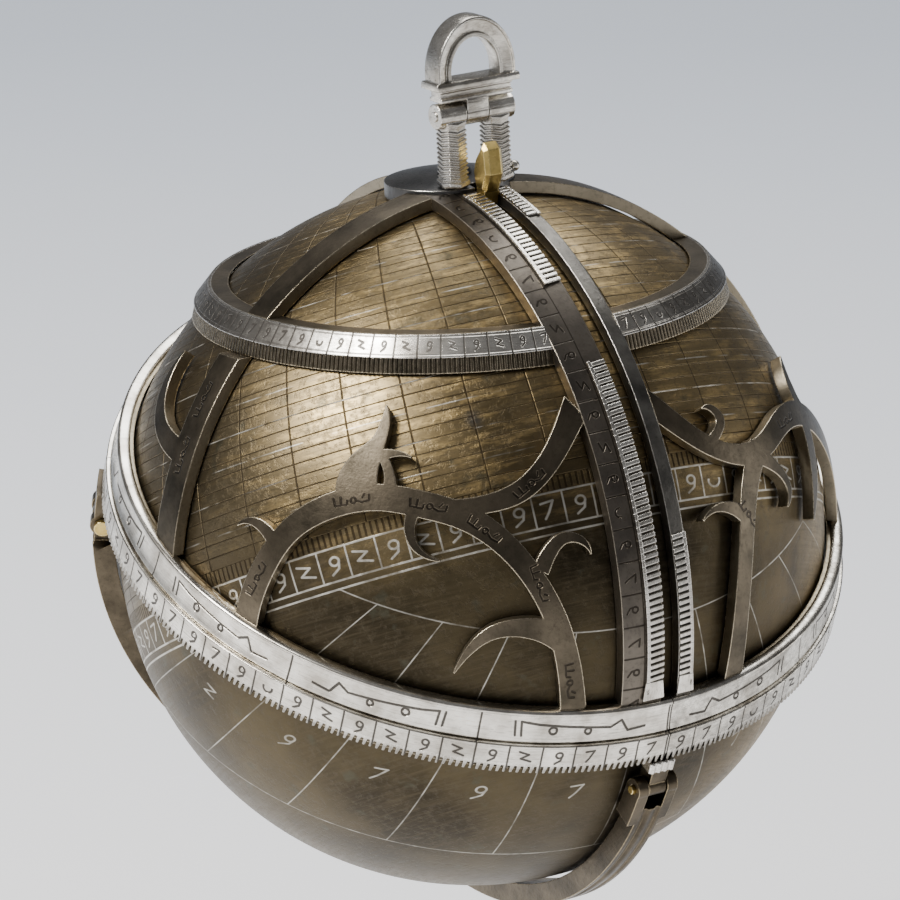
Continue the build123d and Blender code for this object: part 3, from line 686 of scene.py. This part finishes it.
# painted shade: darker with distance from the part facing the camera, towards both ends of what shows
scale_painted_shade = abs(scale_degree + 24).ramp(20.0, 48.0, 0.0, 0.5)
scale_skin, scale_rough, scale_scratch = silver_skin(
    scale_silver, scale_silver.spot(dx, dy, dz), scale_silver.spot(scale_degree * 0.25, dz * 5.0),
    scale_painted_shade)
scale_numbers = scale_silver.numeral(scale_degree, (dz - 30.95) / 1.75, 5.0, 1.5).line(0.045, 0.03)
scale_walls = (scale_degree.off(5.0) * 0.53).line(0.07, 0.05)
scale_edges = abs(abs(dz - 30.95) - 0.85).line(0.03, 0.05)
scale_cuts = scale_numbers.most(scale_walls).most(scale_edges * 0.6) * (scale_distance > 42.75)
scale_edge, scale_round = scale_silver.worn_edges(0.00015)
scale_skin = scale_silver.mix(scale_edge * 0.6, scale_skin, (0.92, 0.91, 0.88, 1))
scale_skin = scale_silver.mix(scale_cuts * 0.9, scale_skin, (0.05, 0.045, 0.04, 1))
scale_silver.lay(scale_skin, scale_rough + scale_cuts * 0.2, scale_scratch * 0.15 - scale_cuts, 0.06,
                 scale_round)
dress(scale_silver, "declination_scale")
tooth_radius = 30.93
tooth_splay = 0.26
rail_clearance = 6.4
tooth = block("declination_teeth", 0, tooth_radius, (0.36, 0.24, 1.78), 0.05)
for vertex in tooth.data.vertices:
    vertex.co.y += tooth_splay * vertex.co.z
    vertex.co.z += (ring_low + ring_mid) / 2 * mm
swing(tooth, rail_clearance, "Z")
declination_teeth = repeat(tooth, 342, "Z")
settle(declination_teeth, -hang_tilt)
fit(declination_teeth, "rete", "rete_brass", rete_brass, "declination_tooth_band")

# ---- colure rails: a numbered rail and a plain rail each side of the slot ----
# Brass strips from the polar plate down to the ecliptic ring. The left one has a dark numbered
# strip; both carry silver edges cut into degrees, lost for part of their length.
number_rail_brass = Finish("number_rail_brass", Metallic=1.0)
strip_middle = 4.7
strip_half = 1.3
scale_border = 3.45
rx, ry, rz = number_rail_brass.split(number_rail_brass.place((math.radians(-hang_tilt), 0, 0)))
rail_degree = rz.math("ARCTAN2", 0 - ry) * math.degrees(1)
rail_spot = number_rail_brass.spot(rx, ry, rz)
# the rail's upright walls get a lighter painted colour, as painted light
rail_skin, rail_rough, rail_fine, rail_round = patina(
    number_rail_brass, rail_spot, (0.085, 0.075, 0.065, 1), (0.17, 0.15, 0.125, 1),
    (0.5, 0.45, 0.36, 1), 0.3, (0.20, 0.175, 0.14, 1))
rail_up = (rx + strip_middle) / (2 * strip_half)
rail_numbers = number_rail_brass.numeral(rail_degree, rail_up, 5.0, 1.44).line(0.035, 0.02)
rail_walls = (rail_degree.off(5.0) * 0.75).line(0.07, 0.05)
rail_cuts = rail_numbers.most(rail_walls) * (abs(rx + strip_middle) < strip_half)
rail_border = abs(rx + scale_border).line(0.05, 0.05)
rail_skin = number_rail_brass.mix(rail_cuts.most(rail_border) * 0.85, rail_skin, (0.03, 0.025, 0.02, 1))
number_rail_brass.lay(rail_skin, rail_rough, rail_fine * 0.4 - rail_cuts, 0.06, rail_round)
dress(number_rail_brass, "number_rail")

dull_silver = Finish("blackened_silver", Metallic=1.0)
dull_place = dull_silver.place((math.radians(-hang_tilt), 0, 0))
dull_skin, dull_rough, dull_fine, dull_round = patina(
    dull_silver, dull_place, (0.075, 0.072, 0.066, 1), (0.22, 0.21, 0.19, 1), (0.75, 0.72, 0.66, 1), 0.28)
dull_silver.lay(dull_skin, dull_rough, dull_fine, 0.05, dull_round)
dress(dull_silver, "plain_rail")

rail_silver = Finish("rail_scale_silver", Metallic=1.0)
sx, sy, sz = rail_silver.split(rail_silver.place((math.radians(-hang_tilt), 0, 0)))
tick_skin, tick_rough, tick_scratch = silver_skin(
    rail_silver, rail_silver.spot(sx, sy, sz), rail_silver.spot(sx * 6.0, sy * 1.2, sz * 1.2), 0.0)
tick_edge, tick_round = rail_silver.worn_edges(0.00012)
tick_skin = rail_silver.mix(tick_edge * 0.6, tick_skin, (0.93, 0.92, 0.89, 1))
rail_silver.lay(tick_skin, tick_rough, tick_scratch, 0.02, tick_round)


slot_half = 1.05
left_scale_edge = 3.3
right_scale_edge = 2.85
scale_middle = 43.23        # distance of the silver's middle from the globe's centre
scale_thickness = 0.34
scale_foot = -12.2
bracket_foot = 81.0


def rail_scale(name, node, x_low, x_high, border, low, high, foot):
    """Silver strip of degree ticks along a rail, with a plain border and maybe a flared foot."""
    ticks_low = low + (3.0 if foot else 0.0)
    inner = x_high if border == "left" else x_low
    strip = 0.42
    sign = 1 if border == "left" else -1
    tick_width = x_high - x_low - strip
    tick = block(name, 0, scale_middle, (tick_width, scale_thickness, 0.52), 0.07)
    for vertex in tick.data.vertices:
        vertex.co.z += vertex.co.x * 0.10
        vertex.co.x += (inner - sign * tick_width / 2) * mm
    swing(tick, -ticks_low - 0.5, "X")
    scale = repeat(tick, int(high - ticks_low), "X", -1.0)
    edge = block("border", 0, scale_middle, (strip, scale_thickness, 0.78), 0.05)
    for vertex in edge.data.vertices:
        vertex.co.x += (inner - sign * (tick_width + strip / 2)) * mm
    swing(edge, -low - 0.5, "X")
    pieces = [scale, repeat(edge, int(high - low), "X", -1.0)]
    if foot:
        plate = block("foot", 0, scale_middle, (x_high - x_low, scale_thickness, 2.3), 0.07)
        for vertex in plate.data.vertices:
            if vertex.co.z < 0:
                vertex.co.x *= 1.0 + foot
            vertex.co.x += ((x_low + x_high) / 2 - sign * foot * 0.3) * mm
        swing(plate, -low - 1.5, "X")
        pieces.append(plate)
    join(*pieces)
    settle(scale, -hang_tilt)
    fit(scale, "rete", "silver", rail_silver, node)


rail_scale("left_lower_ticks", "number_rail_lower_scale", -left_scale_edge, -slot_half, "left",
           scale_foot, 41.2, 0.25)
rail_scale("left_upper_ticks", "number_rail_upper_scale", -left_scale_edge, -slot_half, "left",
           55.4, bracket_foot, 0)
rail_scale("right_lower_ticks", "plain_rail_lower_scale", slot_half, right_scale_edge, "right",
           scale_foot, 13.2, 0.2)
rail_scale("right_upper_ticks", "plain_rail_upper_scale", slot_half, right_scale_edge, "right",
           70.8, bracket_foot, 0)

# ---- polar plate and pivot pin ----
# A domed plate of blackened silver, turned on its face, where ribs and rails meet; the pin that
# the globe turns on is headed over it.
plate_silver = Finish("polar_plate_silver", Metallic=1.0)
px, py, pz = plate_silver.split(plate_silver.place((math.radians(-hang_tilt), 0, 0)))
plate_skin, plate_rough, plate_fine, plate_round = patina(
    plate_silver, plate_silver.spot(px, py, pz), (0.035, 0.036, 0.038, 1), (0.11, 0.108, 0.105, 1),
    (0.85, 0.82, 0.76, 1), 0.2)
plate_radius = (px * px + py * py).math("SQRT")
rings = plate_silver.noise(plate_silver.spot(plate_radius * 9.0, 0.0), 1.0, 3.0)
plate_skin = plate_silver.mix(rings.ramp(0.55, 0.75) * 0.3, plate_skin, (0.30, 0.30, 0.30, 1))
plate_silver.lay(plate_skin, plate_rough, plate_fine + rings, 0.03, plate_round)
dress(plate_silver, "polar_plate", "pole_pivot_pin")

# ---- bracket: two carved silver legs with the outer knuckles of the hinge ----
# The legs straddle the top of the slot. They are filed all round into ridges that dip to a point
# on each broad face, and stand on small flanges; a ball rivet closes the right foot.
plain_silver = Finish("worn_silver", Metallic=1.0)
qx, qy, qz = plain_silver.split(plain_silver.place((math.radians(-hang_tilt), 0, 0)))
plain_skin, plain_rough, plain_scratch = silver_skin(
    plain_silver, plain_silver.spot(qx, qy, qz), plain_silver.spot(qx * 0.5, qy * 1.5, qz * 6.0), 0.1)
plain_edge, plain_round = plain_silver.worn_edges(0.00018)
plain_skin = plain_silver.mix(plain_edge * 0.7, plain_skin, (0.93, 0.92, 0.89, 1))
plain_silver.lay(plain_skin, plain_rough, plain_scratch, 0.03, plain_round)
bracket_y = -4.7
leg_middle = 2.9
leg_foot = 43.35
leg_ridges = 11
knuckle_low = 1.5
knuckle_high = 5.0
hinge_height = 51.7
knuckle_radius = 1.5


def draw_up(height, spread=1.0):
    """Extrudes the selected face upwards and spreads or draws in its new end."""
    bpy.ops.mesh.extrude_region_move(TRANSFORM_OT_translate={"value": (0, 0, height * mm)})
    bpy.ops.transform.resize(value=(spread, spread, 1), center_override=(0, 0, 0))


def knuckle(name, x_low, x_high):
    """One knuckle of the hinge, left with the flats of the file."""
    bpy.ops.object.select_all(action="DESELECT")
    bpy.ops.mesh.primitive_cylinder_add(
        vertices=16, radius=knuckle_radius * mm, depth=(x_high - x_low) * mm,
        location=((x_low + x_high) / 2 * mm, bracket_y * mm, hinge_height * mm),
        rotation=(0, math.pi / 2, 0))
    piece = bpy.context.object
    piece.name = name
    bpy.ops.object.transform_apply(location=True, rotation=True, scale=True)
    apply_modifier(piece, "BEVEL", width=0.06 * mm, segments=1, angle_limit=math.radians(15))
    return piece


def carved_leg(name, sign):
    """One leg on its flange, ridged up to its knuckle, to the left or right of the slot."""
    bpy.ops.object.select_all(action="DESELECT")
    bpy.ops.mesh.primitive_circle_add(vertices=8, radius=mm, fill_type="NGON")
    leg = bpy.context.object
    leg.name = name
    for vertex in leg.data.vertices:
        x, y = (round(part / mm, 1) for part in vertex.co.xy)
        on_corner = abs(x) > 0.5 and abs(y) > 0.5
        across = 1.2 if on_corner else 1.36
        vertex.co.x = math.copysign(across, x) * mm if x else 0.0
        vertex.co.y = math.copysign(across + 0.14, y) * mm if y else 0.0
        vertex.co.z = 0.0 if on_corner else -0.28 * mm
    bpy.ops.object.mode_set(mode="EDIT")
    bpy.ops.mesh.select_all(action="SELECT")
    draw_up(0.25, 1.14)
    draw_up(0.45)
    draw_up(0.15, 0.84)
    for _ in range(leg_ridges):
        draw_up(0.1, 1.1)
        draw_up(0.2)
        draw_up(0.1, 0.89)
        draw_up(0.15, 1.02)
    draw_up(0.7, 1.12)
    bpy.ops.mesh.select_all(action="SELECT")
    bpy.ops.mesh.normals_make_consistent(inside=False)
    bpy.ops.object.mode_set(mode="OBJECT")
    leg.location = (sign * leg_middle * mm, bracket_y * mm, leg_foot * mm)
    bpy.ops.object.transform_apply(location=True, rotation=True, scale=True)
    apply_modifier(leg, "BEVEL", width=0.03 * mm, segments=1, angle_limit=math.radians(20))
    join(leg, knuckle("knuckle", *sorted((sign * knuckle_low, sign * knuckle_high))))
    settle(leg, -hang_tilt)
    return leg


left_leg = carved_leg("bracket_left_carved_leg", -1)
fit(left_leg, "rete", "silver", plain_silver, "bracket_left_leg")
right_leg = carved_leg("bracket_right_carved_leg", 1)
fit(right_leg, "rete", "silver", plain_silver, "bracket_right_leg")
dress(plain_silver, "bracket_ball_rivet", "shackle_hinge_pin")

# ---- shackle: middle knuckle, moulded neck and D-shaped bow of silver ----
# The bow is bevelled inwards from a thin raised edge to a lip round its opening, and soldered to
# a flat rim over the moulded neck. It swings on the hinge pin.


def bar(name, x_low, x_high, *section):
    """Straight moulding drawn along X from the (y, z) corners of its section."""
    bpy.ops.object.select_all(action="DESELECT")
    bpy.ops.mesh.primitive_circle_add(vertices=len(section), fill_type="NGON")
    piece = bpy.context.object
    piece.name = name
    for vertex, (y, z) in zip(piece.data.vertices, section):
        vertex.co = (x_low * mm, (bracket_y + y) * mm, z * mm)
    bpy.ops.object.mode_set(mode="EDIT")
    bpy.ops.mesh.select_all(action="SELECT")
    bpy.ops.mesh.extrude_region_move(
        TRANSFORM_OT_translate={"value": ((x_high - x_low) * mm, 0, 0)})
    bpy.ops.mesh.select_all(action="SELECT")
    bpy.ops.mesh.normals_make_consistent(inside=False)
    bpy.ops.object.mode_set(mode="OBJECT")
    apply_modifier(piece, "BEVEL", width=0.07 * mm, segments=2, angle_limit=math.radians(30))
    return piece


neck = bar("shackle_moulded_neck", -4.75, 4.75, (-1.25, 53.36), (-1.38, 53.46), (-1.38, 53.8),
           (-1.0, 53.95), (-1.0, 54.45), (-1.38, 54.62), (-1.38, 54.9), (1.38, 54.9), (1.38, 54.62),
           (1.0, 54.45), (1.0, 53.95), (1.38, 53.8), (1.38, 53.46), (1.25, 53.36))
web = bar("web", -1.4, 1.4, (-1.45, 52.0), (-1.45, 53.5), (1.45, 53.5), (1.45, 52.0))
join(neck, web, knuckle("knuckle", -1.4, 1.4))
settle(neck, -hang_tilt)
smooth(neck, 25)
fit(neck, "shackle", "silver", plain_silver, "shackle_neck")

bow_middle = 56.55
bow_low = 55.4
bow_stretch = 1.24
bow_section = ((5.2, 1.2), (5.12, 1.55), (4.9, 1.6), (4.82, 1.36), (4.3, 1.15), (3.72, 0.95),
               (3.6, 1.25), (3.26, 1.25), (3.18, 1.05))
bow_section += tuple((out, -depth) for out, depth in reversed(bow_section))
bpy.ops.object.select_all(action="DESELECT")
bpy.ops.mesh.primitive_circle_add(vertices=len(bow_section), fill_type="NGON")
bow = bpy.context.object
bow.name = "shackle_bow"
for vertex, (out, depth) in zip(bow.data.vertices, bow_section):
    vertex.co = (-out * mm, (bracket_y + depth) * mm, bow_low * mm)
bpy.ops.object.mode_set(mode="EDIT")
bpy.ops.mesh.select_all(action="SELECT")
bpy.ops.mesh.extrude_region_move(
    TRANSFORM_OT_translate={"value": (0, 0, (bow_middle - bow_low) * mm)})
bpy.ops.mesh.spin(steps=40, angle=math.pi, center=(0, bracket_y * mm, bow_middle * mm), axis=(0, -1, 0))
bpy.ops.mesh.extrude_region_move(
    TRANSFORM_OT_translate={"value": (0, 0, (bow_low - bow_middle) * mm)})
bpy.ops.mesh.select_all(action="SELECT")
bpy.ops.mesh.remove_doubles(threshold=0.002 * mm)
bpy.ops.mesh.normals_make_consistent(inside=False)
bpy.ops.object.mode_set(mode="OBJECT")
for vertex in bow.data.vertices:
    vertex.co.z += max(0.0, vertex.co.z - bow_middle * mm) * (bow_stretch - 1)
sole = bar("sole", -5.5, 5.5, (-1.9, 54.9), (-1.92, 55.45), (-1.7, 55.78), (1.7, 55.78),
           (1.92, 55.45), (1.9, 54.9))
join(bow, sole)
settle(bow, -hang_tilt)
smooth(bow, 30)
fit(bow, "shackle", "silver", plain_silver, "shackle_loop")

# ---- slot cursor: a faceted brass key that slides in the slot ----
key_brass = Finish("bright_brass", Metallic=1.0)
key_place = key_brass.place((math.radians(-hang_tilt), 0, 0))
key_skin, key_rough, key_fine, key_round = patina(
    key_brass, key_place, (0.42, 0.30, 0.09, 1), (0.72, 0.55, 0.20, 1), (0.95, 0.82, 0.48, 1), 0.2)
key_brass.lay(key_skin, key_rough, key_fine, 0.03, key_round)
dress(key_brass, "slot_cursor", "cage_hinge_pin", "left_latch_pin", "right_latch_pin")

# ---- front hinge of the cage: a ribbed silver block and a brass tongue ----
# The block is soldered under the numbers at the front seam and filed into four upright ribs.
block_latitude = -1.0
rib_pitch = 0.84
hinge_block = block("front_hinge_ribs", block_latitude, 43.0, (3.3, 2.2, 1.5), 0.12)
ribs = [block("rib", block_latitude, 43.9, (0.6, 0.75, 1.62), 0.2) for _ in range(4)]
for place, rib in enumerate(ribs):
    for vertex in rib.data.vertices:
        vertex.co.x += (place - 1.5) * rib_pitch * mm
join(hinge_block, *ribs)
settle(hinge_block, ecliptic_tilt)
fit(hinge_block, "rete", "silver", plain_silver, "front_hinge_block")

# ---- retaining cage: three bronze arms and a boss under the globe ----
# The arms lie along meridians of the ecliptic ring, each with two long grooves scraped down its
# outer face. The front one is forked round the hinge pin; the others hook over latch pins.
bronze_metal = Finish("cage_bronze", Metallic=1.0)
bronze_place = bronze_metal.place(ecliptic_rotation)
bronze_skin, bronze_rough, bronze_fine, bronze_round = patina(
    bronze_metal, bronze_place, (0.045, 0.037, 0.026, 1), (0.12, 0.098, 0.068, 1),
    (0.50, 0.41, 0.26, 1), 0.24)
bronze_metal.lay(bronze_skin, bronze_rough, bronze_fine, 0.04, bronze_round)
dress(bronze_metal, "front_hinge_tongue", "cage_boss", "left_latch_lug", "right_latch_lug")


def copy_node(name, new_name):
    """A merged copy of a CAD node, to be worked on further."""
    node = frame["nodes"][name]
    piece = bpy.data.objects.new(new_name, node.data.copy())
    bpy.context.scene.collection.objects.link(piece)
    bpy.ops.object.select_all(action="DESELECT")
    piece.select_set(True)
    bpy.context.view_layer.objects.active = piece
    bpy.ops.object.mode_set(mode="EDIT")
    bpy.ops.mesh.select_all(action="SELECT")
    bpy.ops.mesh.remove_doubles(threshold=0.0005 * mm)
    bpy.ops.object.mode_set(mode="OBJECT")
    return piece


groove_offset = 0.8
scraper_radius = 44.75
for arm_name, around in (("cage_front_arm", 0), ("cage_left_arm", -120), ("cage_right_arm", 120)):
    arm = copy_node(arm_name, arm_name + "_grooved")
    for side in (-groove_offset, groove_offset):
        bpy.ops.object.select_all(action="DESELECT")
        bpy.ops.mesh.primitive_torus_add(major_radius=scraper_radius * mm, minor_radius=0.42 * mm,
                                         major_segments=240, minor_segments=12,
                                         location=(side * mm, 0, 0), rotation=(0, math.pi / 2, 0))
        scraper = bpy.context.object
        bpy.ops.object.transform_apply(location=True, rotation=True, scale=True)
        swing(scraper, around, "Z")
        settle(scraper, ecliptic_tilt)
        apply_modifier(arm, "BOOLEAN", operation="DIFFERENCE", object=scraper)
        bpy.data.objects.remove(scraper)
    smooth(arm, 30)
    fit(arm, "cage", "cage_bronze", bronze_metal, arm_name)
